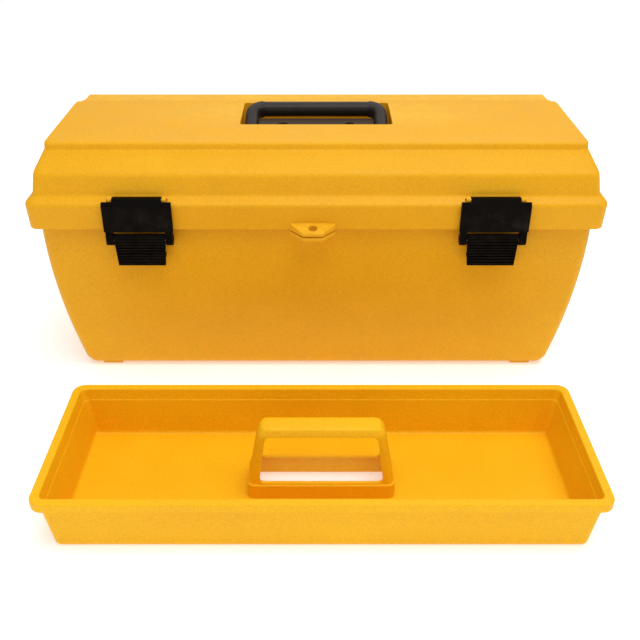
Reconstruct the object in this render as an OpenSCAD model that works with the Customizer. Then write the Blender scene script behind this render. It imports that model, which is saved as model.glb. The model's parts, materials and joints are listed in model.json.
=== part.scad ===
// Plastic toolbox with a domed lid, recessed carrying handle, two draw latches
// and a lift-out tray, which stands on the table in front of the box.
// +Z is up, -Y is the front, and the origin is on the table under the middle of
// the space that box and tray take up together.

/* [Box] */
// Length of the lid's rim along X
box_l = 515; // [500:1:540]
// Depth of the lid's rim along Y
box_d = 230; // [226:1:240]
// Height of the lid's rim top edge above the table
rim_top = 185.5; // [184:0.5:190]
// Height of the rim's skirt
rim_h = 24; // [22:0.5:26]
// Wall thickness of base and lid
wall = 2.5; // [2:0.1:3]
// Height of the moulded feet
foot_h = 3; // [2:0.5:4]

/* [Lid] */
// Height from the rim's top edge to the top of the lid's upright wall
lid_wall_h = 24; // [22:0.5:26]
// Height from the rim's top edge to the foot of the raised top panel
panel_foot_h = 36; // [34:0.5:38]
// Height from the rim's top edge to the front edge of the raised top panel
panel_h = 42.5; // [41:0.5:44]
// Crown of the raised top panel
crown = 2; // [1:0.5:3]

/* [Handle] */
// Length of the handle's pocket along X
pocket_l = 143; // [140:1:150]
// Depth of the handle's pocket below the lid's top
pocket_deep = 24; // [22:1:26]
// Diameter of the handle's grip
grip_dia = 14; // [13:0.5:16]
// Outside width of the handle
bail_w = 137; // [134:0.2:140]

/* [Latches] */
// Distance of each latch from the middle of the box
latch_x = 157.5; // [140:0.5:180]
// Width of the latch plate
latch_w = 61; // [60:1:66]
// Width of the ribbed lever
lever_w = 46; // [40:1:46]
// Number of grip ribs on each lever
rib_count = 10; // [6:1:12]

/* [Tray] */
// Length of the tray's rim
tray_l = 432; // [426:1:434]
// Depth of the tray's rim along Y
tray_d = 151; // [130:1:160]
// Height of the tray's rim
tray_h = 49; // [45:1:55]
// Height of the tray's handle above the table
tray_grip_h = 66; // [62:1:70]
// Free space between the tray's rim and the lid's rim
tray_gap = 78; // [70:1:150]
// Sideways offset of the tray from the middle of the box
tray_x = 4; // [-10:1:10]

/* [Hidden] */

$fn = 48;
level_t = 0.2;
hull_fn = 32;
yellow = [0.96, 0.67, 0.10];
black = [0.09, 0.085, 0.085];
steel = [0.72, 0.73, 0.75];

// Lid and rim
half_l = box_l / 2;
half_d = box_d / 2;
rim_bottom = rim_top - rim_h;
rim_radius = 9;
skirt_draft = 1;
ledge_in = 9;
ledge_in_end = 6.3;
ledge_rise = 5;
wall_top = rim_top + lid_wall_h;
wall_in = 11;
wall_in_end = 8.8;
panel_foot = rim_top + panel_foot_h;
panel_edge = rim_top + panel_h;
lid_top = panel_edge + crown;
panel_half_l = 244;
panel_half_d = 75;
panel_radius = 7;
panel_notch_l = 9.3;
panel_notch_d = 30;
bearing_z = 180.3;

// Base
base_top = 180;
base_half_l = 248.8;
base_half_d = 107;
base_radius = 9;
belly_end = 18.5;
belly_side = 16;
belly_power = 1.8;
belly_from = 152;
foot_chamfer = 2.5;
foot_l = 20;
foot_d = 14;
foot_x = 206;
foot_y = 80;
tray_rest_z = 166.5;
rest_rib_x = 212.5;
rest_rib_y = 45;
rest_rib_t = 3;
rest_rib_drop = 55;

// Hinge at the back
hinge_x = 150;
hinge_y = 113;
hinge_z = 155;
hinge_r = 5;
hinge_pin_r = 2;
hinge_lug_w = 20;
hinge_ear_w = 8;
hinge_side_gap = 0.4;
hinge_web_t = 3.5;
running_gap = 0.05;
snug_gap = 0.02;

// Padlock lugs at the front
lug_x = -3;
lug_half_root = 20;
lug_half_tip = 8.5;
lug_out = 15;
lug_hole_r = 4;
lug_t = 3.5;
lug_gap = 1;
lug_root_h = 6.5;
lug_tip_h = 3;
lug_hole_y = -half_d - 7;

// Handle pocket, bracket and bail, measured from the box's middle
pocket_front = -29.5;
pocket_back = 38.2;
pocket_floor = lid_top - pocket_deep;
bracket_half_l = 55.5;
bracket_front = -28.5;
bracket_back = 15;
bracket_top = lid_top - 8;
pivot_y = -20;
pivot_z = lid_top - 15;
rod_r = 2.5;
grip_y = 21;
grip_z = lid_top - 1.5;
bail_side_gap = 0.4;
arm_w = (bail_w - 2 * bracket_half_l) / 2 - bail_side_gap;
arm_proud = 0.4;
screw_x = 32;
screw_y = -4;
screw_r = 2;
screw_head_r = 4;
screw_head_h = 2.6;
screw_seat = pocket_floor + 8;
boss_r = 5.5;
boss_h = 9;

// Latches, measured from the box's middle
latch_pivot_y = -half_d + 4.5;
latch_pivot_z = rim_top + 2.5;
latch_pin_r = 1.5;
barrel_r = 3;
barrel_half = 21.5;
latch_lug_w = 4;
latch_side_gap = 0.5;
latch_pocket_deep = 0.8;
plate_back = -half_d - 0.5;
plate_front = plate_back - 3.5;
plate_bottom = 161;
lever_pivot_y = -half_d;
lever_pivot_z = 152;
lever_pin_r = 1.5;
arm_r = 5;
arm_inner = lever_w / 2 + 0.4;
arm_outer = 29.5;
lever_front = -half_d - 4.5;
lever_back = -half_d + 0.5;
lever_top = 158;
lever_bottom = 128;
catch_z = 137;
catch_tip = -110.5;
keeper_z = 139.6;
keeper_h = 3;
keeper_tip = -110.2;
keeper_half = 18;
rib_h = 0.7;

// Tray
tray_wall = 2.2;
tray_lip = 7.5;
tray_rim_w = 7;
tray_in_end = 12;
tray_in_side = 7.5;
tray_radius = 10;
tray_floor = 3;
hood_half_l = 60;
hood_half_d = 19;
hood_top_half_l = 50.5;
hood_top_half_d = 10.5;
window_half_low = 50;
window_half_high = 44.5;
window_low = 17.5;
window_high = 58.5;

// Layout of box and tray, so that the origin is in the middle of both
back_reach = hinge_y + hinge_r;
front_reach = half_d + tray_gap + tray_d;
box_y = (front_reach - back_reach) / 2;
tray_y = box_y - half_d - tray_gap - tray_d / 2;

// Outline points of a rectangle with rounded corners, centred on the origin
function arc(cx, cy, r, from, n) =
    [for (i = [0 : n]) [cx + r * cos(from + 90 * i / n), cy + r * sin(from + 90 * i / n)]];
function round_rect(hl, hd, r, n) = concat(
    arc(hl - r, hd - r, r, 0, n), arc(r - hl, hd - r, r, 90, n),
    arc(r - hl, r - hd, r, 180, n), arc(hl - r, r - hd, r, 270, n)
);

// How far the base's wall has pulled in at height z, from 0 near the top to 1 at the foot
function belly(z) = pow(max(0, (belly_from - z) / (belly_from - foot_h)), belly_power);
function base_hl(z) = base_half_l - belly_end * belly(z);
function base_hd(z) = base_half_d - belly_side * belly(z);

module in_box() { translate([0, box_y, 0]) children(); }
module in_tray() { translate([tray_x, tray_y, 0]) children(); }

// A thin rounded plate, one level of a lofted shell
module level(hl, hd, r, z) {
    translate([0, 0, z])
        linear_extrude(level_t) polygon(round_rect(hl, hd, r, hull_fn / 4));
}
// A prism with a rounded plan between two heights
module block(hl, hd, r, z0, z1) {
    translate([0, 0, z0])
        linear_extrude(z1 - z0) polygon(round_rect(hl, hd, r, hull_fn / 4));
}
// A cylinder along X, centred on x
module x_rod(x, y, z, r, len) {
    translate([x - len / 2, y, z]) rotate([0, 90, 0]) cylinder(r = r, h = len);
}
// A box given by its low and high corners
module span(lo, hi) { translate(lo) cube(hi - lo); }
// A profile in the Y-Z plane, extruded along X from x0 to x1
module x_extrude(x0, x1) {
    translate([x0, 0, 0])
        rotate([90, 0, 90]) linear_extrude(x1 - x0) children();
}

// ---- Base ----
module base_body(inset, floor_z) {
    hull() {
        block(base_half_l - inset, base_half_d - inset, base_radius - inset, belly_from, base_top);
        for (z = [132, 112, 90, 68, 46, 26, 10])
            level(base_hl(z) - inset, base_hd(z) - inset, base_radius - inset, z);
        level(base_hl(floor_z) - inset - foot_chamfer, base_hd(floor_z) - inset - foot_chamfer,
              base_radius - inset, floor_z);
    }
}
module rest_ribs() {
    wall_x = base_half_l - 1;
    for (sx = [-1, 1], sy = [-1, 1])
        translate([0, sy * rest_rib_y + rest_rib_t / 2, 0])
            rotate([90, 0, 0]) linear_extrude(rest_rib_t)
                polygon([
                    [sx * rest_rib_x, tray_rest_z],
                    [sx * wall_x, tray_rest_z],
                    [sx * (base_hl(tray_rest_z - rest_rib_drop) - 1), tray_rest_z - rest_rib_drop]
                ]);
}
module hinge_ears() {
    for (sx = [-1, 1], side = [-1, 1]) {
        x = sx * hinge_x + side * (hinge_lug_w / 2 + hinge_side_gap + hinge_ear_w / 2);
        x_rod(x, hinge_y, hinge_z, hinge_r, hinge_ear_w);
        span([x - hinge_ear_w / 2, base_half_d - 1, hinge_z - hinge_r],
             [x + hinge_ear_w / 2, hinge_y, hinge_z + hinge_r]);
    }
}
module lug_plate(z_top_root, z_top_tip, z_bottom, root_y) {
    intersection() {
        translate([0, 0, z_bottom - 1])
            linear_extrude(z_top_root - z_bottom + 2)
                polygon([
                    [lug_x - lug_half_root, root_y], [lug_x - lug_half_root, -half_d - 1],
                    [lug_x - lug_half_tip, -half_d - lug_out],
                    [lug_x + lug_half_tip, -half_d - lug_out],
                    [lug_x + lug_half_root, -half_d - 1], [lug_x + lug_half_root, root_y]
                ]);
        x_extrude(lug_x - lug_half_root - 1, lug_x + lug_half_root + 1)
            polygon([
                [root_y + 1, z_bottom], [-half_d - lug_out - 1, z_bottom],
                [-half_d - lug_out - 1, z_top_tip], [-half_d, z_top_root], [root_y + 1, z_top_root]
            ]);
    }
}
module base_shell() {
    color(yellow) in_box() difference() {
        union() {
            difference() {
                base_body(0, foot_h);
                difference() {
                    union() {
                        base_body(wall, foot_h + wall);
                        block(base_half_l - wall, base_half_d - wall, base_radius - wall,
                              base_top - 4, base_top + 1);
                    }
                    rest_ribs();
                }
            }
            hinge_ears();
            for (sx = [-1, 1], sy = [-1, 1])
                span([sx * foot_x - foot_l / 2, sy * foot_y - foot_d / 2, 0],
                     [sx * foot_x + foot_l / 2, sy * foot_y + foot_d / 2, foot_h + wall / 2]);
            lug_plate(rim_bottom - lug_gap, rim_bottom - lug_gap,
                      rim_bottom - lug_gap - lug_t, -base_half_d + 1);
            for (sx = [-1, 1])
                span([sx * latch_x - keeper_half, keeper_tip, keeper_z],
                     [sx * latch_x + keeper_half, -base_hd(keeper_z) + 1, keeper_z + keeper_h]);
        }
        translate([lug_x, lug_hole_y, rim_bottom - 20]) cylinder(r = lug_hole_r, h = 30);
        for (sx = [-1, 1])
            x_rod(sx * hinge_x, hinge_y, hinge_z, hinge_pin_r + snug_gap, hinge_lug_w + 4 * hinge_ear_w);
    }
}
module hinge_pin(side) {
    len = hinge_lug_w + 2 * (hinge_ear_w + hinge_side_gap);
    color(steel) in_box() x_rod(side * hinge_x, hinge_y, hinge_z, hinge_pin_r, len);
}
module hinge_pin_left() { hinge_pin(-1); }
module hinge_pin_right() { hinge_pin(1); }

// ---- Lid ----
module rim_band() {
    hull() {
        level(half_l - skirt_draft, half_d - skirt_draft, rim_radius, rim_bottom);
        level(half_l, half_d, rim_radius, rim_top - 1.5);
        level(half_l - 1, half_d - 1, rim_radius - 1, rim_top);
        level(half_l - ledge_in_end, half_d - ledge_in, rim_radius - 3, rim_top + ledge_rise);
    }
}
module upper_wall(inset, low) {
    r = rim_radius - 3 - inset;
    hull() {
        level(half_l - ledge_in_end - inset, half_d - ledge_in - inset, r, low);
        level(half_l - wall_in_end - inset, half_d - wall_in - inset, r, wall_top - 1 - inset / 2);
        level(half_l - wall_in_end - 1 - inset, half_d - wall_in - 2 - inset, r, wall_top - inset / 2);
        level(panel_half_l - inset, panel_half_d + 1 - inset, panel_radius, panel_foot - inset);
    }
}
module panel(inset) {
    r = panel_radius - inset;
    difference() {
        hull() {
            level(panel_half_l - inset, panel_half_d - inset, r, wall_top);
            level(panel_half_l - inset, panel_half_d - inset, r, panel_edge - 2 - inset);
            level(panel_half_l - 1.5 - inset, panel_half_d - 2 - inset, r, panel_edge - inset);
            for (s = [0.85, 0.65, 0.4, 0.15])
                level(panel_half_l - 3 - inset, panel_half_d * s - inset, r,
                      panel_edge - inset + crown * (1 - s * s) - level_t);
        }
        for (sx = [-1, 1])
            span([sx > 0 ? panel_half_l - panel_notch_l - inset : -panel_half_l - 1,
                  panel_half_d - panel_notch_d - inset, panel_foot - inset],
                 [sx > 0 ? panel_half_l + 1 : -panel_half_l + panel_notch_l + inset,
                  panel_half_d + 1, lid_top + 1]);
    }
}
module latch_seats() {
    half = barrel_half + latch_side_gap;
    for (sx = [-1, 1])
        span([sx * latch_x - half, -half_d - 1, rim_top - latch_pocket_deep],
             [sx * latch_x + half, -half_d + ledge_in - 1, rim_top + ledge_rise + 4]);
}
module latch_lugs() {
    for (sx = [-1, 1], side = [-1, 1]) {
        x = sx * latch_x + side * (barrel_half + latch_side_gap + latch_lug_w / 2);
        x_rod(x, latch_pivot_y, latch_pivot_z, barrel_r, latch_lug_w);
        span([x - latch_lug_w / 2, latch_pivot_y - barrel_r, rim_top - 3],
             [x + latch_lug_w / 2, latch_pivot_y + barrel_r, latch_pivot_z]);
    }
}
module lid_shell() {
    color(yellow) in_box() difference() {
        union() {
            difference() {
                union() {
                    rim_band();
                    upper_wall(0, rim_top);
                    panel(0);
                }
                block(half_l - wall - skirt_draft, half_d - wall - skirt_draft, rim_radius - wall,
                      rim_bottom - 1, bearing_z);
                difference() {
                    union() {
                        upper_wall(wall, bearing_z - 1);
                        panel(wall);
                    }
                    block(pocket_l / 2 + wall, (pocket_back - pocket_front) / 2 + wall, 3,
                          pocket_floor - wall, lid_top + 1);
                }
            }
            for (sx = [-1, 1])
                translate([sx * screw_x, screw_y, pocket_floor - boss_h]) cylinder(r = boss_r, h = boss_h);
            for (sx = [-1, 1]) {
                x_rod(sx * hinge_x, hinge_y, hinge_z, hinge_r, hinge_lug_w);
                span([sx * hinge_x - hinge_lug_w / 2, hinge_y - hinge_web_t, hinge_z],
                     [sx * hinge_x + hinge_lug_w / 2, hinge_y + 1, rim_bottom + 1]);
            }
            lug_plate(rim_bottom + lug_root_h, rim_bottom + lug_tip_h, rim_bottom, -half_d + 1);
            latch_lugs();
        }
        span([-pocket_l / 2, pocket_front, pocket_floor], [pocket_l / 2, pocket_back, lid_top + 1]);
        latch_seats();
        translate([lug_x, lug_hole_y, rim_bottom - 1]) cylinder(r = lug_hole_r, h = 20);
        for (sx = [-1, 1]) {
            x_rod(sx * hinge_x, hinge_y, hinge_z, hinge_pin_r + running_gap, hinge_lug_w + 2);
            x_rod(sx * latch_x, latch_pivot_y, latch_pivot_z, latch_pin_r + snug_gap, 2 * barrel_half + 10);
            translate([sx * screw_x, screw_y, pocket_floor - boss_h - 1])
                cylinder(r = screw_r + snug_gap, h = boss_h + 2);
        }
    }
}

// ---- Handle ----
module handle_bracket() {
    color(black) in_box() difference() {
        x_extrude(-bracket_half_l, bracket_half_l)
            polygon([
                [bracket_front, pocket_floor], [bracket_back, pocket_floor],
                [bracket_back, bracket_top - 3], [bracket_back - 3, bracket_top],
                [pivot_y + 4, bracket_top], [bracket_front, pivot_z + 4]
            ]);
        x_rod(0, pivot_y, pivot_z, rod_r + snug_gap, 2 * bracket_half_l + 2);
        for (sx = [-1, 1]) translate([sx * screw_x, screw_y, 0]) {
            translate([0, 0, pocket_floor - 1]) cylinder(r = screw_r + running_gap, h = pocket_deep);
            translate([0, 0, screw_seat]) cylinder(r = screw_head_r + 0.5, h = pocket_deep);
        }
    }
}
module handle_rod() {
    color(steel) in_box() x_rod(0, pivot_y, pivot_z, rod_r, bail_w - 6);
}
module handle_screws() {
    color(steel) in_box() for (sx = [-1, 1]) translate([sx * screw_x, screw_y, 0])
        difference() {
            union() {
                translate([0, 0, pocket_floor - boss_h])
                    cylinder(r = screw_r, h = screw_seat - pocket_floor + boss_h);
                translate([0, 0, screw_seat]) cylinder(r = screw_head_r, h = screw_head_h);
            }
            for (a = [0, 90]) translate([0, 0, screw_seat + screw_head_h])
                rotate([0, 0, a]) cube([2 * screw_head_r - 2.4, 1, 2.4], center = true);
        }
}
module bail_arm(side) {
    x0 = side > 0 ? bracket_half_l + bail_side_gap : -bail_w / 2;
    x_extrude(x0, x0 + arm_w) difference() {
        hull() {
            translate([pivot_y, pivot_z]) circle(r = 6.5);
            translate([grip_y, grip_z]) circle(r = grip_dia / 2 + arm_proud);
        }
        translate([pivot_y, pivot_z]) circle(r = rod_r + running_gap);
    }
}
module handle_bail() {
    color(black) in_box() union() {
        bail_arm(-1);
        bail_arm(1);
        x_rod(0, grip_y, grip_z, grip_dia / 2, bail_w - 2);
    }
}

// ---- Latches ----
module latch_pin(side) {
    len = 2 * (barrel_half + latch_side_gap + latch_lug_w);
    color(steel) in_box() x_rod(side * latch_x, latch_pivot_y, latch_pivot_z, latch_pin_r, len);
}
module latch_pin_left() { latch_pin(-1); }
module latch_pin_right() { latch_pin(1); }

module latch_plate(side) {
    x = side * latch_x;
    color(black) in_box() difference() {
        union() {
            x_rod(x, latch_pivot_y, latch_pivot_z, barrel_r, 2 * barrel_half);
            x_extrude(x - barrel_half, x + barrel_half)
                polygon([
                    [latch_pivot_y, latch_pivot_z + barrel_r], [latch_pivot_y, rim_top - 0.4],
                    [plate_back + 0.2, rim_top - 0.4], [plate_front, rim_top - 0.4],
                    [plate_front, rim_top], [plate_front + 4, latch_pivot_z + barrel_r]
                ]);
            x_extrude(x - latch_w / 2, x + latch_w / 2)
                polygon([
                    [plate_back, rim_top + 3], [plate_back, plate_bottom],
                    [plate_front, plate_bottom], [plate_front, rim_top],
                    [plate_front + 2, rim_top + 3]
                ]);
            for (s = [-1, 1]) {
                x0 = s > 0 ? x + arm_inner : x - arm_outer;
                x_extrude(x0, x0 + arm_outer - arm_inner) {
                    translate([lever_pivot_y, lever_pivot_z]) circle(r = arm_r);
                    polygon([
                        [lever_pivot_y - arm_r, lever_pivot_z], [lever_pivot_y + arm_r, lever_pivot_z],
                        [plate_back + 1, rim_bottom - 1], [plate_back, rim_bottom],
                        [plate_back, plate_bottom + 4], [plate_front, plate_bottom + 4],
                        [plate_front, plate_bottom]
                    ]);
                }
            }
        }
        x_rod(x, latch_pivot_y, latch_pivot_z, latch_pin_r + running_gap, 2 * barrel_half + 2);
        x_rod(x, lever_pivot_y, lever_pivot_z, lever_pin_r + snug_gap, 2 * arm_outer + 2);
    }
}
module latch_plate_left() { latch_plate(-1); }
module latch_plate_right() { latch_plate(1); }

module lever_pin(side) {
    color(steel) in_box() x_rod(side * latch_x, lever_pivot_y, lever_pivot_z, lever_pin_r, 2 * arm_outer - 1);
}
module lever_pin_left() { lever_pin(-1); }
module lever_pin_right() { lever_pin(1); }

// Half width of a lever at height z: it narrows a little towards its lower end
function lever_half(z) = lever_w / 2 - 2 * (lever_top - z) / (lever_top - lever_bottom);
module latch_lever(side) {
    x = side * latch_x;
    face = lever_front + rib_h;
    rib_pitch = (lever_top - lever_bottom - 2) / rib_count;
    color(black) in_box() difference() {
        union() {
            intersection() {
                x_extrude(x - lever_w / 2, x + lever_w / 2)
                    polygon([
                        [face, lever_top - 1], [face + 1, lever_top],
                        [lever_back - 1, lever_top], [lever_back, lever_top - 2],
                        [lever_back, catch_z + 3], [catch_tip, catch_z], [catch_tip, catch_z - 1],
                        [lever_back, catch_z - 3.5], [lever_back - 1, lever_bottom],
                        [face, lever_bottom]
                    ]);
                translate([x, lever_front - 1, 0]) rotate([-90, 0, 0]) linear_extrude(20)
                    polygon([
                        [-lever_half(lever_top), -lever_top - 1],
                        [lever_half(lever_top), -lever_top - 1],
                        [lever_half(lever_bottom), 1 - lever_bottom],
                        [-lever_half(lever_bottom), 1 - lever_bottom]
                    ]);
            }
            for (i = [0 : rib_count - 1]) {
                z = lever_bottom + 1.5 + i * rib_pitch;
                hw = lever_half(z) - 0.3;
                span([x - hw, lever_front, z], [x + hw, face + 0.5, z + rib_pitch * 0.55]);
            }
        }
        x_rod(x, lever_pivot_y, lever_pivot_z, lever_pin_r + running_gap, lever_w + 2);
    }
}
module latch_lever_left() { latch_lever(-1); }
module latch_lever_right() { latch_lever(1); }

// ---- Tray ----
module hood(inset, low) {
    hull() {
        level(hood_half_l - inset, hood_half_d - inset, 6 - inset, low);
        level(hood_top_half_l - inset, hood_top_half_d - inset, 6 - inset, tray_grip_h - 6);
        level(hood_top_half_l - inset - 3, hood_top_half_d - inset - 2, 5 - inset,
              tray_grip_h - 1.5 - inset);
        level(hood_top_half_l - inset - 6, hood_top_half_d - inset - 4, 3,
              tray_grip_h - inset - level_t);
    }
}
module tray() {
    hl = tray_l / 2;
    hd = tray_d / 2;
    color(yellow) in_tray() difference() {
        union() {
            difference() {
                union() {
                    hull() {
                        level(hl - tray_in_end - 2, hd - tray_in_side - 2, tray_radius - 6, 0);
                        level(hl - tray_in_end, hd - tray_in_side, tray_radius - 5, 2);
                        level(hl - tray_rim_w + tray_wall, hd - tray_rim_w + tray_wall,
                              tray_radius - 4, tray_h - 2);
                    }
                    block(hl, hd, tray_radius, tray_h - tray_lip, tray_h);
                }
                hull() {
                    level(hl - tray_in_end - tray_wall, hd - tray_in_side - tray_wall,
                          tray_radius - 6, tray_floor);
                    level(hl - tray_rim_w, hd - tray_rim_w, tray_radius - 5, tray_h + 1);
                }
                difference() {
                    block(hl - tray_wall, hd - tray_wall, tray_radius - tray_wall,
                          tray_h - tray_lip - 1, tray_h - tray_wall);
                    block(hl - tray_rim_w + tray_wall, hd - tray_rim_w + tray_wall, tray_radius - 5,
                          0, tray_h + 1);
                }
            }
            hood(0, tray_floor - 1);
        }
        hood(tray_wall, -1);
        rotate([90, 0, 0]) translate([0, 0, -hood_half_d * 2]) linear_extrude(4 * hood_half_d)
            polygon([
                [-window_half_low, window_low], [window_half_low, window_low],
                [window_half_high, window_high], [-window_half_high, window_high]
            ]);
    }
}

base_shell();
hinge_pin_left();
hinge_pin_right();
lid_shell();
handle_bracket();
handle_rod();
handle_screws();
handle_bail();
latch_pin_left();
latch_pin_right();
latch_plate_left();
latch_plate_right();
lever_pin_left();
lever_pin_right();
latch_lever_left();
latch_lever_right();
tray();
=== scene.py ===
"""Toolbox with tray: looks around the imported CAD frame. Units are metres, in the row frame."""
import json
import math

import bmesh
import bpy
from mathutils import Matrix, Vector


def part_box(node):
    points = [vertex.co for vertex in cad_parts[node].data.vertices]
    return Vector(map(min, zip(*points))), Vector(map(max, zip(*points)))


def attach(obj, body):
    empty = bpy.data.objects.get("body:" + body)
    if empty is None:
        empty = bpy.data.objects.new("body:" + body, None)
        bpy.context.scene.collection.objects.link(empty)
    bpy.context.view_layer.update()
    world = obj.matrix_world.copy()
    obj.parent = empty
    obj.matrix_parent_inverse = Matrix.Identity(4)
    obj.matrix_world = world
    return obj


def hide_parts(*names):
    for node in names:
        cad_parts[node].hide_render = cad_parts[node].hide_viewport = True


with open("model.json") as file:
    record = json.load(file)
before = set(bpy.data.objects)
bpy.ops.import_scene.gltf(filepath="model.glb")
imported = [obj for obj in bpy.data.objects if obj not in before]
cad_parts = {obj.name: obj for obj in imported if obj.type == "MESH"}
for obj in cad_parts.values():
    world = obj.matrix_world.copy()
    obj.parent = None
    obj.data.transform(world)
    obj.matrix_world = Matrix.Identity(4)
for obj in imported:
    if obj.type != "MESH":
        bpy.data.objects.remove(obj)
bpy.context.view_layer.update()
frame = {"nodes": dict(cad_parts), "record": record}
NODES = frame["nodes"]
BODY_OF = {n: b for b, names in frame["record"]["behaviour"]["bodies"].items() for n in names}
SLOT_OF = {s["node"]: s["material_slot"] for s in frame["record"]["subparts"]}


# ---- Materials ----
def new_material(name):
    """A material with one principled shader, its node tree and the shader."""
    m = bpy.data.materials.new(name)
    m.use_nodes = True
    m.node_tree.nodes.clear()
    out = m.node_tree.nodes.new("ShaderNodeOutputMaterial")
    shader = m.node_tree.nodes.new("ShaderNodeBsdfPrincipled")
    m.node_tree.links.new(shader.outputs["BSDF"], out.inputs["Surface"])
    return m, m.node_tree, shader


def link(tree, a, out, b, inp):
    """Joins output out of node a to input inp of node b."""
    tree.links.new(a.outputs[out], b.inputs[inp])


def noise(tree, coords, scale, detail, rough=0.5, stretch=None):
    """A noise texture on the object's own coordinates, stretched if asked."""
    src, out = coords, "Object"
    if stretch:
        mapping = tree.nodes.new("ShaderNodeMapping")
        mapping.inputs["Scale"].default_value = stretch
        link(tree, coords, "Object", mapping, "Vector")
        src, out = mapping, "Vector"
    n = tree.nodes.new("ShaderNodeTexNoise")
    n.inputs["Scale"].default_value = scale
    n.inputs["Detail"].default_value = detail
    n.inputs["Roughness"].default_value = rough
    link(tree, src, out, n, "Vector")
    return n


def ramp(tree, src, out, low, high, at=(0.0, 1.0)):
    """Turns a value into a blend of two colours between the positions in at."""
    r = tree.nodes.new("ShaderNodeValToRGB")
    r.color_ramp.elements[0].position, r.color_ramp.elements[1].position = at
    r.color_ramp.elements[0].color = (*low, 1)
    r.color_ramp.elements[1].color = (*high, 1)
    link(tree, src, out, r, "Fac")
    return r


def mix(tree, fac, a, b, kind="MIX"):
    """Colours a and b mixed by a number or by another node's output."""
    m = tree.nodes.new("ShaderNodeMix")
    m.data_type, m.blend_type = "RGBA", kind
    m.inputs["Factor"].default_value = 1.0
    if isinstance(fac, float):
        m.inputs["Factor"].default_value = fac
    else:
        tree.links.new(fac, m.inputs["Factor"])
    tree.links.new(a, m.inputs["A"])
    tree.links.new(b, m.inputs["B"])
    return m.outputs["Result"]


def grey(v):
    """A neutral colour of brightness v."""
    return (v, v, v)


def plastic(name, base, deep, edge_highlight, rough, grain, grain_depth, scuffs, specular):
    """Moulded plastic: flow marks in the colour, a fine mould grain, scuffs and a painted highlight on
    sharply convex edges.
    """
    m, t, s = new_material(name)
    c = t.nodes.new("ShaderNodeTexCoord")
    flow = noise(t, c, 7.0, 4.0, 0.55, (1.0, 1.0, 2.2))
    cloud = noise(t, c, 34.0, 3.0, 0.5)
    colour = ramp(t, flow, "Fac", deep, base, (0.28, 0.62)).outputs["Color"]
    mottle = ramp(t, cloud, "Fac", grey(0.975), grey(1.0), (0.35, 0.65)).outputs["Color"]
    colour = mix(t, 1.0, colour, mottle, "MULTIPLY")
    speck = noise(t, c, grain, 3.0, 0.65)
    specks = ramp(t, speck, "Fac", grey(0.84), grey(1.0), (0.30, 0.62)).outputs["Color"]
    colour = mix(t, 1.0, colour, specks, "MULTIPLY")
    # painted highlight: the paler colour where the surface is sharply convex, broken up by noise
    geo = t.nodes.new("ShaderNodeNewGeometry")
    edge = ramp(t, geo, "Pointiness", grey(0.0), grey(1.0), (0.53, 0.60))
    patch = noise(t, c, 120.0, 3.0, 0.6)
    patches = ramp(t, patch, "Fac", grey(0.15), grey(0.75), (0.4, 0.68))
    edge_highlight_mask = mix(t, 1.0, edge.outputs["Color"], patches.outputs["Color"], "MULTIPLY")
    edge_highlight_colour = t.nodes.new("ShaderNodeRGB")
    edge_highlight_colour.outputs[0].default_value = (*edge_highlight, 1)
    colour = mix(t, edge_highlight_mask, colour, edge_highlight_colour.outputs[0])
    t.links.new(colour, s.inputs["Base Color"])
    # scuffs: thin stretched streaks that are rougher than the rest
    streak = noise(t, c, 60.0, 5.0, 0.7, (1.0, 9.0, 9.0))
    streaks = ramp(t, streak, "Fac", grey(0.0), grey(1.0), (0.60, 0.70))
    rough_map = ramp(t, cloud, "Fac", grey(rough - 0.05), grey(rough + 0.05), (0.3, 0.7))
    rough_high = t.nodes.new("ShaderNodeRGB")
    rough_high.outputs[0].default_value = (*grey(min(1.0, rough + scuffs)), 1)
    roughness = mix(t, streaks.outputs["Color"], rough_map.outputs["Color"], rough_high.outputs[0])
    t.links.new(roughness, s.inputs["Roughness"])
    # mould grain and the slight waviness of a thin moulded wall
    fine = noise(t, c, grain, 2.0, 0.5)
    wave = noise(t, c, 16.0, 1.0, 0.4)
    bump = t.nodes.new("ShaderNodeBump")
    bump.inputs["Strength"].default_value = 0.55
    bump.inputs["Distance"].default_value = grain_depth
    link(t, fine, "Fac", bump, "Height")
    slow = t.nodes.new("ShaderNodeBump")
    slow.inputs["Strength"].default_value = 0.35
    slow.inputs["Distance"].default_value = 0.0012
    link(t, wave, "Fac", slow, "Height")
    link(t, slow, "Normal", bump, "Normal")
    link(t, bump, "Normal", s, "Normal")
    s.inputs["IOR"].default_value = 1.49
    s.inputs["Specular IOR Level"].default_value = specular
    return m


def drawn_steel(name):
    """Drawn steel wire and screws: fine lines along X, a little tarnish."""
    m, t, s = new_material(name)
    c = t.nodes.new("ShaderNodeTexCoord")
    lines = noise(t, c, 900.0, 3.0, 0.6, (0.05, 1.0, 1.0))
    stain = noise(t, c, 90.0, 4.0, 0.6)
    colour = ramp(t, stain, "Fac", (0.42, 0.41, 0.40), (0.68, 0.68, 0.70), (0.3, 0.6))
    link(t, colour, "Color", s, "Base Color")
    rough = ramp(t, lines, "Fac", grey(0.22), grey(0.42), (0.3, 0.7))
    link(t, rough, "Color", s, "Roughness")
    bump = t.nodes.new("ShaderNodeBump")
    bump.inputs["Strength"].default_value = 0.4
    bump.inputs["Distance"].default_value = 0.00004
    link(t, lines, "Fac", bump, "Height")
    link(t, bump, "Normal", s, "Normal")
    s.inputs["Metallic"].default_value = 1.0
    return m


# the third colour in each call is the painted highlight along sharply convex edges
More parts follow.
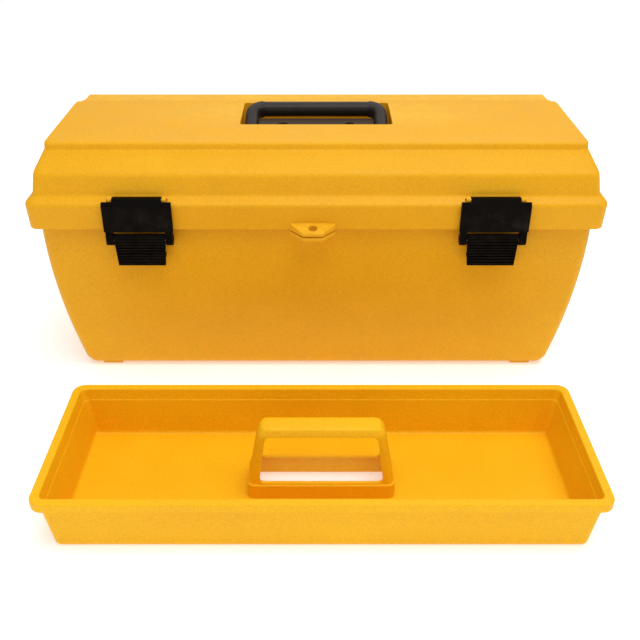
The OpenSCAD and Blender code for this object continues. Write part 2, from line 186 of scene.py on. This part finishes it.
YELLOW = plastic("yellow_plastic", (0.87, 0.430, 0.0065), (0.84, 0.402, 0.0050), (0.93, 0.56, 0.06),
                 0.45, 700.0, 0.00014, 0.12, 0.18)
ORANGE = plastic("tray_plastic", (0.985, 0.520, 0.0062), (0.97, 0.490, 0.0048), (0.98, 0.62, 0.06),
                 0.45, 700.0, 0.00012, 0.12, 0.18)
BLACK = plastic("black_plastic", (0.0042, 0.0030, 0.0022), (0.0030, 0.0022, 0.0016), (0.020, 0.016, 0.013),
                0.55, 700.0, 0.00018, 0.15, 0.03)
HANDLE = plastic("handle_plastic", (0.024, 0.0165, 0.0125), (0.019, 0.0132, 0.0100), (0.045, 0.036, 0.030),
                 0.42, 700.0, 0.00018, 0.15, 0.22)
BRACKET = plastic("bracket_plastic", (0.066, 0.045, 0.028), (0.054, 0.037, 0.023), (0.09, 0.07, 0.05),
                  0.55, 700.0, 0.00018, 0.15, 0.12)
STEEL = drawn_steel("steel")
MATERIAL = {"yellow_plastic": YELLOW, "black_plastic": BLACK, "steel": STEEL}


# ---- Pieces ----
def place(obj, node, material=None):
    """The piece rides on its node's body and stands for that node."""
    obj.data.materials.clear()
    obj.data.materials.append(material or MATERIAL[SLOT_OF[node]])
    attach(obj, BODY_OF[node])
    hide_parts(node)
    return obj


def from_cad(node, bevel, segments=3, material=None):
    """A copy of a CAD node with its flat faces merged and its sharp edges rounded off."""
    flat, sharp = math.radians(1.0), math.radians(32.0)
    mesh = NODES[node].data.copy()
    mesh.name = node + "_skin"
    bm = bmesh.new()
    bm.from_mesh(mesh)
    bmesh.ops.remove_doubles(bm, verts=bm.verts, dist=2e-6)
    bmesh.ops.dissolve_limit(bm, angle_limit=flat, verts=bm.verts, edges=bm.edges)
    bm.to_mesh(mesh)
    bm.free()
    for p in mesh.polygons:
        p.use_smooth = True
    mesh.set_sharp_from_angle(angle=sharp)
    obj = bpy.data.objects.new(node + "_skin", mesh)
    bpy.context.collection.objects.link(obj)
    b = obj.modifiers.new("rounding", "BEVEL")
    b.width, b.segments, b.limit_method = bevel, segments, "ANGLE"
    b.angle_limit = sharp
    b.use_clamp_overlap = True
    b.harden_normals = False
    b.miter_outer = "MITER_ARC"
    w = obj.modifiers.new("even_shading", "WEIGHTED_NORMAL")
    w.keep_sharp = False
    return place(obj, node, material)


# ---- Sizes in mm, as the CAD has them. Places on the box count from its middle, front is -Y ----
WALL = 2.5
BASE_HALF_L, BASE_HALF_D, BASE_RADIUS = 248.8, 107.0, 9.0
BASE_LOW, BASE_TOP = 3.0, 180.0                     # underside of the floor, and the edge inside the lid
BELLY_TOP, BELLY_ENDS, BELLY_SIDES = 152.0, 18.5, 16.0   # below BELLY_TOP the walls draw in by this much
FLOOR_CHAMFER = 2.5
FOOT_X, FOOT_Y, FOOT_HALF_L, FOOT_HALF_D = 206, 80, 10, 7
REST_Y, REST_IN, REST_TOP, REST_LOW, REST_HALF_W = 45, 212.5, 166.5, 111.5, 1.5
HINGE_X, HINGE_Y, HINGE_Z, HINGE_R = 150, 113, 155, 5
EAR_X, EAR_HALF_W, KNUCKLE_HALF_W = 14.4, 4, 10     # ears of the base, and the lid's knuckle between them
LATCH_X, LATCH_Y, LATCH_Z = 157.5, -110.5, 188      # the latch plates' pins
LATCH_LUG_X, LATCH_LUG_HALF_W, LATCH_LUG_R = 24, 2, 3
LUG_X, LUG_HOLE_Y, LUG_HOLE_R = -3.0, -122.0, 4.0   # padlock lugs
PANEL_HALF_L, PANEL_HALF_D, PANEL_RADIUS, PANEL_EDGE_Z, CROWN = 241.0, 75.0, 6.0, 228.0, 2.0
POCKET_HALF_L, POCKET_FRONT, POCKET_BACK, POCKET_FLOOR = 71.5, -29.5, 38.2, 206.0
SCREW_X, SCREW_Y, BOSS_R, BOSS_H = 32, -4, 5.5, 9
PIVOT_Y, PIVOT_Z, GRIP_Y, GRIP_Z, GRIP_R = -20.0, 215.0, 21.0, 228.5, 7.0
ARM_X, ARM_HALF_W = 62.2, 6.4                       # the handle's arms

# The middles of the box and of the tray in the row frame
rod_low, rod_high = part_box("handle_rod")
BOX = (0.0, (rod_low.y + rod_high.y) * 500 - PIVOT_Y)
tray_low, tray_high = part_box("tray")
TRAY = ((tray_low.x + tray_high.x) * 500, (tray_low.y + tray_high.y) * 500)


def outline(hl, hd, r, n=8):
    """Points of a rectangle with rounded corners, anticlockwise from above."""
    points = []
    centres = ((hl - r, hd - r), (r - hl, hd - r), (r - hl, r - hd), (hl - r, r - hd))
    for quarter, (cx, cy) in enumerate(centres):
        for i in range(n + 1):
            a = math.radians(90 * quarter + 90 * i / n)
            points.append((cx + r * math.cos(a), cy + r * math.sin(a)))
    return points


def towards(p, q, distance):
    """The point at that distance from p on the way to q, at most nearly half way."""
    length = math.dist(p, q)
    share = min(distance / max(length, 1e-9), 0.48)
    return [a + (b - a) * share for a, b in zip(p, q)]


def curve(start, middle, end, steps):
    """Points of a short curve that leaves start towards middle and arrives at end."""
    out = []
    for k in range(steps + 1):
        t = k / steps
        corners = zip(start, middle, end)
        out.append([a * (1 - t) ** 2 + b * 2 * t * (1 - t) + c * t * t for a, b, c in corners])
    return out


def rounded(stations, steps=5):
    """Stations are (half length, half depth, corner radius, z, fillet); each fillet becomes a short curve."""
    out = []
    for i, s in enumerate(stations):
        p, fillet = s[:4], s[4]
        if fillet <= 0 or i in (0, len(stations) - 1):
            out.append(p)
        else:
            before, after = stations[i - 1][:4], stations[i + 1][:4]
            out += curve(towards(p, before, fillet), p, towards(p, after, fillet), steps)
    return out


def skin_rings(rings, name):
    """A mesh through rings of points, all with the same count, with a face on each end."""
    bm = bmesh.new()
    rows = [[bm.verts.new(p) for p in ring] for ring in rings]
    n = len(rings[0])
    for low, high in zip(rows, rows[1:]):
        for j in range(n):
            bm.faces.new((low[j], low[(j + 1) % n], high[(j + 1) % n], high[j]))
    bm.faces.new(list(reversed(rows[0])))
    bm.faces.new(rows[-1])
    return to_object(bm, name)


def to_object(bm, name):
    """The finished mesh as an object, with doubled points joined and faces turned outward."""
    bmesh.ops.remove_doubles(bm, verts=bm.verts, dist=0.0005)
    bmesh.ops.recalc_face_normals(bm, faces=bm.faces)
    mesh = bpy.data.meshes.new(name)
    bm.to_mesh(mesh)
    bm.free()
    obj = bpy.data.objects.new(name, mesh)
    bpy.context.collection.objects.link(obj)
    return obj


def loft(stations):
    """A closed skin through stations, one rounded rectangle at each height."""
    return skin_rings([[(x, y, s[3]) for x, y in outline(s[0], s[1], max(s[2], 0.2))]
                       for s in rounded(stations)], "loft")


def round_off(bm, edges, width):
    """Rounds those edges of the mesh."""
    bmesh.ops.bevel(bm, geom=edges, offset=width, segments=3, profile=0.5, affect="EDGES",
                    clamp_overlap=True)


def prism(points, direction, a, b, bevel=0.0):
    """A polygon run along an axis: (y, z) points along X, (x, z) along Y, or (x, y) along Z."""
    put = {"X": lambda p, t: (t, p[0], p[1]), "Y": lambda p, t: (p[0], t, p[1]),
           "Z": lambda p, t: (p[0], p[1], t)}[direction]
    bm = bmesh.new()
    low, high = [bm.verts.new(put(p, a)) for p in points], [bm.verts.new(put(p, b)) for p in points]
    n = len(points)
    bm.faces.new(low)
    bm.faces.new(list(reversed(high)))
    for j in range(n):
        bm.faces.new((low[j], low[(j + 1) % n], high[(j + 1) % n], high[j]))
    bmesh.ops.recalc_face_normals(bm, faces=bm.faces)
    if bevel:
        sharp = [e for e in bm.edges if len(e.link_faces) == 2 and e.calc_face_angle() > math.radians(25)]
        round_off(bm, sharp, bevel)
    return to_object(bm, "prism")


def block(lo, hi, bevel=0.0):
    """A box between two opposite corners."""
    return prism([(lo[0], lo[1]), (hi[0], lo[1]), (hi[0], hi[1]), (lo[0], hi[1])], "Z", lo[2], hi[2], bevel)


def circle(cx, cy, r, n=40):
    """Points of a circle, anticlockwise."""
    angles = [2 * math.pi * i / n for i in range(n)]
    return [(cx + r * math.cos(a), cy + r * math.sin(a)) for a in angles]


def half_circle(cy, cz, r, start, turn, steps, last=0):
    """(y, z) points of half a circle from start degrees, without its first point; turn is 1 or -1."""
    angles = [math.radians(start) + turn * math.pi * i / steps for i in range(1, steps + last)]
    return [(cy + r * math.cos(a), cz + r * math.sin(a)) for a in angles]


def soft_polygon(points, r, steps=6):
    """A polygon with its corners rounded off."""
    out = []
    for i, p in enumerate(points):
        out += curve(towards(p, points[i - 1], r), p, towards(p, points[(i + 1) % len(points)], r), steps)
    return out


def together(objs):
    """Several separate closed shells as one object."""
    bm = bmesh.new()
    for o in objs:
        bm.from_mesh(o.data)
        bpy.data.objects.remove(o)
    mesh = bpy.data.meshes.new("parts")
    bm.to_mesh(mesh)
    bm.free()
    obj = bpy.data.objects.new("parts", mesh)
    bpy.context.collection.objects.link(obj)
    return obj


def combine(obj, others, how):
    """obj with the others added (UNION) or cut away (DIFFERENCE)."""
    tool = together(others)
    m = obj.modifiers.new("combine", "BOOLEAN")
    m.operation, m.solver, m.object, m.use_self = how, "EXACT", tool, True
    bpy.context.view_layer.update()
    mesh = bpy.data.meshes.new_from_object(obj.evaluated_get(bpy.context.evaluated_depsgraph_get()))
    obj.modifiers.clear()
    obj.data = mesh
    bpy.data.objects.remove(tool)
    return obj


def finished(obj, node, centre, material=None, angle=33.0):
    """Puts a piece made in mm around its own middle into the row frame, shades it and lets it ride."""
    obj.name = node + "_detailed"
    bm = bmesh.new()
    bm.from_mesh(obj.data)
    bmesh.ops.remove_doubles(bm, verts=bm.verts, dist=0.004)
    bmesh.ops.dissolve_degenerate(bm, edges=bm.edges, dist=0.002)
    bmesh.ops.recalc_face_normals(bm, faces=bm.faces)
    for v in bm.verts:
        v.co = Vector((v.co.x + centre[0], v.co.y + centre[1], v.co.z)) * 0.001
    for f in bm.faces:
        f.smooth = True
    bm.to_mesh(obj.data)
    bm.free()
    obj.data.set_sharp_from_angle(angle=math.radians(angle))
    w = obj.modifiers.new("even_shading", "WEIGHTED_NORMAL")
    w.keep_sharp = True
    return place(obj, node, material)


def lug(top_root, top_tip, bottom, root_y):
    """A padlock lug: a tab that narrows and slopes down to the front."""
    out, tip, half_root, half_tip = -115.0, -130.0, 20, 8.5
    right = [(LUG_X + half_tip, tip), (LUG_X + half_root, out - 1), (LUG_X + half_root, root_y)]
    left = [(2 * LUG_X - x, y) for x, y in reversed(right)]
    obj = prism(left + right, "Z", bottom, top_root)
    for v in obj.data.vertices:
        if v.co.z > bottom + 0.1 and v.co.y < out:
            v.co.z = top_root + (top_tip - top_root) * (out - v.co.y) / (out - tip)
    bm = bmesh.new()
    bm.from_mesh(obj.data)
    edges = [e for e in bm.edges if max(v.co.y for v in e.verts) < out + 0.5 and e.calc_face_angle() > 0.3]
    round_off(bm, edges, 0.7)
    bm.to_mesh(obj.data)
    bm.free()
    return obj


def lug_hole():
    """The padlock's hole through both lugs."""
    return prism(circle(LUG_X, LUG_HOLE_Y, LUG_HOLE_R), "Z", 140, 180)


def x_bar(x, half, y, z, r):
    """A round bar along X, half to each side of x."""
    return prism(circle(y, z, r), "X", x - half, x + half)


# ---- Base ----
def belly(z):
    """How far the walls have drawn in at height z: 0 from BELLY_TOP up, 1 at the floor."""
    return (max(0.0, BELLY_TOP - z) / (BELLY_TOP - BASE_LOW)) ** 1.8


def wall_at(z, inset, fillet=0.0):
    """The station of the base's wall at height z, moved inward by inset."""
    return (BASE_HALF_L - BELLY_ENDS * belly(z) - inset, BASE_HALF_D - BELLY_SIDES * belly(z) - inset,
            BASE_RADIUS - inset, z, fillet)


def base_walls():
    """The open box: from the floor up the inside, over the edge, down the outside and under the floor."""
    heights = [10, 14, 20, 26, 36, 46, 57, 68, 79, 90, 101, 112, 122, 132, 142, 152]
    floor_in = wall_at(BASE_LOW + WALL, WALL + FLOOR_CHAMFER, 4)
    foot = wall_at(BASE_LOW, FLOOR_CHAMFER)
    return loft(
        [(floor_in[0] - 8, floor_in[1] - 8, 4, floor_in[3], 0), floor_in]
        + [wall_at(z, WALL) for z in heights] + [wall_at(BASE_TOP, WALL, 0.6), wall_at(BASE_TOP, 0.0, 0.6)]
        + [wall_at(z, 0.0) for z in reversed(heights)]
        + [(foot[0], foot[1], 7, BASE_LOW, 3), (foot[0] - 8, foot[1] - 8, 4, BASE_LOW, 0)])


def foot_block(sx, sy):
    x, y = sx * FOOT_X, sy * FOOT_Y
    return block((x - FOOT_HALF_L, y - FOOT_HALF_D, 0), (x + FOOT_HALF_L, y + FOOT_HALF_D, 4.2), 1.2)


def tray_rest(sx, sy):
    """A triangular rib in the end wall that carries the stowed tray."""
    y, low_out = sy * REST_Y, BASE_HALF_L - BELLY_ENDS * belly(REST_LOW) - 1
    points = [(sx * REST_IN, REST_TOP), (sx * (BASE_HALF_L - 1), REST_TOP), (sx * low_out, REST_LOW)]
    return prism(points, "Y", y - REST_HALF_W, y + REST_HALF_W, 0.4)


def hinge_ear(x):
    root = BASE_HALF_D - 1
    points = ([(root, HINGE_Z - HINGE_R), (HINGE_Y, HINGE_Z - HINGE_R)]
              + half_circle(HINGE_Y, HINGE_Z, HINGE_R, -90, 1, 16)
              + [(HINGE_Y, HINGE_Z + HINGE_R), (root, HINGE_Z + HINGE_R)])
    return prism(points, "X", x - EAR_HALF_W, x + EAR_HALF_W, 0.5)


def keeper(x):
    """The bead that the latch's lever catches under."""
    return block((x - 18, -110.2, 139.6), (x + 18, -105.5, 142.6), 0.5)


added = [lug(160.5, 160.5, 157.0, -106.0)]
for sx in (-1, 1):
    for sy in (-1, 1):
        added.append(foot_block(sx, sy))
        added.append(tray_rest(sx, sy))
    for side in (-1, 1):
        added.append(hinge_ear(sx * HINGE_X + side * EAR_X))
    added.append(keeper(sx * LATCH_X))
base = combine(base_walls(), added, "UNION")
base = combine(base, [lug_hole()] + [x_bar(sx * HINGE_X, 30, HINGE_Y, HINGE_Z, 2.02) for sx in (-1, 1)],
               "DIFFERENCE")
finished(base, "base_shell", BOX)


# ---- Lid ----
def crown(share, inset):
    """A station of the slightly crowned top, at that share of its depth."""
    return (PANEL_HALF_L - inset, PANEL_HALF_D * share - inset, PANEL_RADIUS - inset,
            PANEL_EDGE_Z + CROWN * (1 - share * share) - inset, 0)


def lid_walls():
    """From the middle of the top down the inside, round the rim and up the outside."""
    shares = (0.94, 0.85, 0.75, 0.65, 0.52, 0.4, 0.28, 0.15)
    inside = [
        (241.5, 72.5, 4.5, 225.2, 1), (241.5, 73.5, 4.5, 219, 1),         # the raised panel
        (245.2, 99.5, 3.5, 208.2, 1.5), (246.2, 101.5, 3.5, 206, 1),      # the facet
        (248.7, 103.5, 3.5, 180.3, 0), (254, 111.5, 6.5, 180.3, 1),       # the upper wall and the ledge
        (254, 111.5, 6.5, 161.5, 0)]                                      # the rim
    outside = [
        (256.5, 114, 9, 161.5, 0.9), (257.5, 115, 9, 185.3, 3.2),         # the rim
        (251.4, 106.4, 6, 190.3, 2.4), (248.5, 103.4, 6, 209.6, 4.0),     # the ledge and the upper wall
        (244, 76.2, 7, 221.5, 1.6), (244, 75, 7, 227.6, 2.6)]             # the facet and the raised panel
    return loft([crown(s, WALL) for s in reversed(shares)] + inside + outside + [crown(s, 0) for s in shares])


def pocket_hollow():
    middle, half_d = (POCKET_BACK + POCKET_FRONT) / 2, (POCKET_BACK - POCKET_FRONT) / 2
    hollow = loft([(POCKET_HALF_L, half_d, 3, z, 0) for z in (POCKET_FLOOR, 226.5, 240)])
    for v in hollow.data.vertices:
        v.co.y += middle
    return hollow


def pocket_walls():
    return block((-POCKET_HALF_L - WALL, POCKET_FRONT - WALL, POCKET_FLOOR - WALL),
                 (POCKET_HALF_L + WALL, POCKET_BACK + WALL, 227.3))


def corner_notch(sx):
    """The step cut out of the panel's back corner."""
    return block((sx * 244.7 - 10, 45, 221.5), (sx * 244.7 + 10, 90, 240), 1.5)


def corner_notch_walls(sx):
    return block((sx * 238 - 5.8, 42.5, 219), (sx * 238 + 5.8, 74.5, 226.8))


def screw_boss(sx):
    return prism(circle(sx * SCREW_X, SCREW_Y, BOSS_R), "Z", POCKET_FLOOR - BOSS_H, 204.5)


def hinge_knuckle(x):
    points = ([(109.5, 162.5), (109.5, HINGE_Z)] + half_circle(HINGE_Y, HINGE_Z, HINGE_R, 180, 1, 16, 1)
              + [(117, 159), (114, 162.5)])
    return prism(points, "X", x - KNUCKLE_HALF_W, x + KNUCKLE_HALF_W, 0.5)


def latch_lug(x):
    front, back, root = LATCH_Y - LATCH_LUG_R, LATCH_Y + LATCH_LUG_R, 182
    points = ([(front, root), (front, LATCH_Z)] + half_circle(LATCH_Y, LATCH_Z, LATCH_LUG_R, 180, -1, 12)
              + [(back, LATCH_Z), (back, root)])
    return prism(points, "X", x - LATCH_LUG_HALF_W, x + LATCH_LUG_HALF_W, 0.4)


def latch_recess(x):
    """The shallow recess in the ledge for the latch plate's barrel."""
    return block((x - 22, -116, 184.7), (x + 22, -107, 195))


added = [pocket_walls(), lug(168.0, 164.5, 161.5, -114.0)]
cut = [pocket_hollow()]
for sx in (-1, 1):
    added += [corner_notch_walls(sx), screw_boss(sx), hinge_knuckle(sx * HINGE_X)]
    added += [latch_lug(sx * LATCH_X + side * LATCH_LUG_X) for side in (-1, 1)]
    cut += [corner_notch(sx), latch_recess(sx * LATCH_X), x_bar(sx * HINGE_X, 12, HINGE_Y, HINGE_Z, 2.05),
            x_bar(sx * LATCH_X, 27, LATCH_Y, LATCH_Z, 1.52)]
cut.append(lug_hole())
lid = combine(lid_walls(), added, "UNION")
lid = combine(lid, cut, "DIFFERENCE")
finished(lid, "lid_shell", BOX)


# ---- Tray ----
def tray_dish():
    """Under the floor, up the outside, over the rim, down the inside with its step, and over the floor."""
    return loft([
        (190, 56, 3, 0, 0), (202, 66, 4, 0, 1), (204, 68, 5, 2.2, 1.2), (211, 70.7, 6, 46.8, 0),
        (213.8, 73.3, 7.8, 46.8, 0), (213.8, 73.3, 7.8, 41.5, 0), (216, 75.5, 10, 41.5, 0.5),
        (216, 75.5, 10, 49, 1.3), (209, 68.5, 5, 49, 1.3), (207.4, 67.7, 5, 38.6, 0.5),
        (206.9, 67.2, 5, 38, 0.5), (201.2, 65.6, 4, 3, 3.6), (190, 56, 3, 3, 0)])


def tray_hood():
    """The hooded handle: a curb and, on it, an arch that leans in to its rounded top."""
    return loft([(60.0, 19.0, 6, 1.5, 0), (59.6, 18.6, 6, 15.6, 0.6), (58.4, 17.4, 5.5, 16.6, 0.6),
                 (50.9, 10.7, 6, 60, 2.4), (47.6, 8.4, 4.5, 64.8, 1.6), (44, 5, 3, 66, 0)])


def hood_hollow():
    return loft([(57.8, 16.8, 3.8, -1, 0), (48.5, 8.3, 3.8, 60, 2), (43, 3.5, 2, 63.8, 0)])


def hood_window():
    """The opening for the fingers, through the front and the back of the hood."""
    low, high = (50.0, 17.6), (44.6, 59)
    points = [(-low[0], low[1]), low, high, (-high[0], high[1])]
    return prism(soft_polygon(points, 4.5), "Y", -32, 32)


tray = combine(tray_dish(), [tray_hood()], "UNION")
tray = combine(tray, [hood_hollow(), hood_window()], "DIFFERENCE")
finished(tray, "tray", TRAY, ORANGE)


# ---- Handle ----
def bail_path(reach):
    """(x, distance from the pivot, tangent angle, half width, half height) along the bar."""
    bend = 12.0
    path = []
    for i in range(7):                          # the rounded end of the arm
        a = math.radians(90 - 15 * i)
        narrow = 0.5 * math.sin(a) ** 6
        half_height = max(6.4 * math.cos(a), 0.9)
        path.append((-ARM_X, -ARM_HALF_W * math.sin(a), 0.0, ARM_HALF_W - narrow, half_height))
    for i in range(1, 5):                       # the arm
        u = (reach - bend) * i / 5
        path.append((-ARM_X, u, 0.0, ARM_HALF_W, 6.4 + 0.9 * u / reach))
    for i in range(0, 9):                       # the corner
        a = math.radians(90 * i / 8)
        path.append((-ARM_X + bend * (1 - math.cos(a)), reach - bend + bend * math.sin(a), a,
                     ARM_HALF_W + 0.6 * i / 8, 7.2 - 0.2 * i / 8))
    path += [(x, reach, math.pi / 2, GRIP_R, GRIP_R) for x in (-30, -10)]
    return path + [(-x, u, math.pi - a, w, h) for x, u, a, w, h in reversed(path)]


def bail():
    """One bar bent round two corners: flat-sided arms that turn into a round grip."""
    pivot, grip = Vector((PIVOT_Y, PIVOT_Z)), Vector((GRIP_Y, GRIP_Z))
    along = (grip - pivot).normalized()
    rings = []
    for x, u, a, w, h in bail_path((grip - pivot).length):
        squareness = 0.62 if abs(math.sin(a)) < 0.99 else 0.92     # squarer arms, rounder grip
        ring = []
        for k in range(28):
            t = 2 * math.pi * k / 28
            c, s = math.cos(t), math.sin(t)
            across = w * math.copysign(abs(c) ** squareness, c)
            up = h * math.copysign(abs(s) ** squareness, s)
            px, pu = x - across * math.cos(a), u + across * math.sin(a)
            ring.append((px, pivot.x + along.x * pu - along.y * up, pivot.y + along.y * pu + along.x * up))
        rings.append(ring)
    return skin_rings(rings, "bail")


rod_bores = [x_bar(sx * 62, 9, PIVOT_Y, PIVOT_Z, 2.55) for sx in (-1, 1)]
finished(combine(bail(), rod_bores, "DIFFERENCE"), "handle_bail", BOX, HANDLE, angle=40)

# ---- Small parts, on the CAD's own shapes ----
from_cad("handle_bracket", 0.0009, material=BRACKET)
for side in ("left", "right"):
    from_cad("latch_plate_" + side, 0.0006)
    from_cad("latch_lever_" + side, 0.00022, 2)
for node in NODES:
    if SLOT_OF[node] == "steel":
        from_cad(node, 0.0002, 2)


# ---- Floor, lights, camera ----
def floor_material():
    """A nearly white table that is lit a little from below, as in a catalogue picture."""
    m, t, s = new_material("floor")
    c = t.nodes.new("ShaderNodeTexCoord")
    n = noise(t, c, 3.0, 2.0)
    colour = ramp(t, n, "Fac", grey(0.94), grey(0.96))
    link(t, colour, "Color", s, "Base Color")
    s.inputs["Roughness"].default_value = 0.75
    s.inputs["Emission Color"].default_value = (1, 1, 1, 1)
    s.inputs["Emission Strength"].default_value = 0.36
    return m


bpy.ops.mesh.primitive_plane_add(size=14, location=(0, 0, 0))
floor = bpy.context.object
floor.name = "floor"
floor.data.materials.append(floor_material())


def area(name, loc, at, size, power):
    """A white rectangular light at loc that points at a place."""
    d = bpy.data.lights.new(name, "AREA")
    d.shape, d.size, d.size_y, d.energy = "RECTANGLE", size[0], size[1], power
    o = bpy.data.objects.new(name, d)
    o.location = loc
    o.rotation_euler = (Vector(at) - Vector(loc)).to_track_quat("-Z", "Y").to_euler()
    bpy.context.collection.objects.link(o)


area("key", (0.28, -0.35, 2.1), (0, 0.0, 0.1), (1.9, 1.5), 32.5)
area("front_fill", (-0.3, -2.2, 0.6), (0, 0, 0.1), (1.8, 0.9), 2.5)
area("back_light", (0.2, 1.6, 1.6), (0, 0.1, 0.2), (1.8, 0.9), 8)

world = bpy.data.worlds.new("studio")
world.use_nodes = True
world.node_tree.nodes["Background"].inputs["Color"].default_value = (1, 1, 1, 1)
world.node_tree.nodes["Background"].inputs["Strength"].default_value = 0.45
bpy.context.scene.world = world
bpy.context.scene.view_settings.view_transform = "Standard"

cam_data = bpy.data.cameras.new("camera")
cam_data.lens, cam_data.sensor_width = 47.8, 36.0
cam_data.shift_x = 0.0058
cam_data.clip_start, cam_data.clip_end = 0.05, 40
camera = bpy.data.objects.new("camera", cam_data)
camera.location = (0.0, BOX[1] * 0.001 - 0.8027, 0.4846)     # 0.8027 m in front of the box's middle
camera.rotation_mode = "XYZ"
camera.rotation_euler = Matrix.Rotation(math.radians(58.79), 3, "X").to_euler()
bpy.context.collection.objects.link(camera)
bpy.context.scene.camera = camera
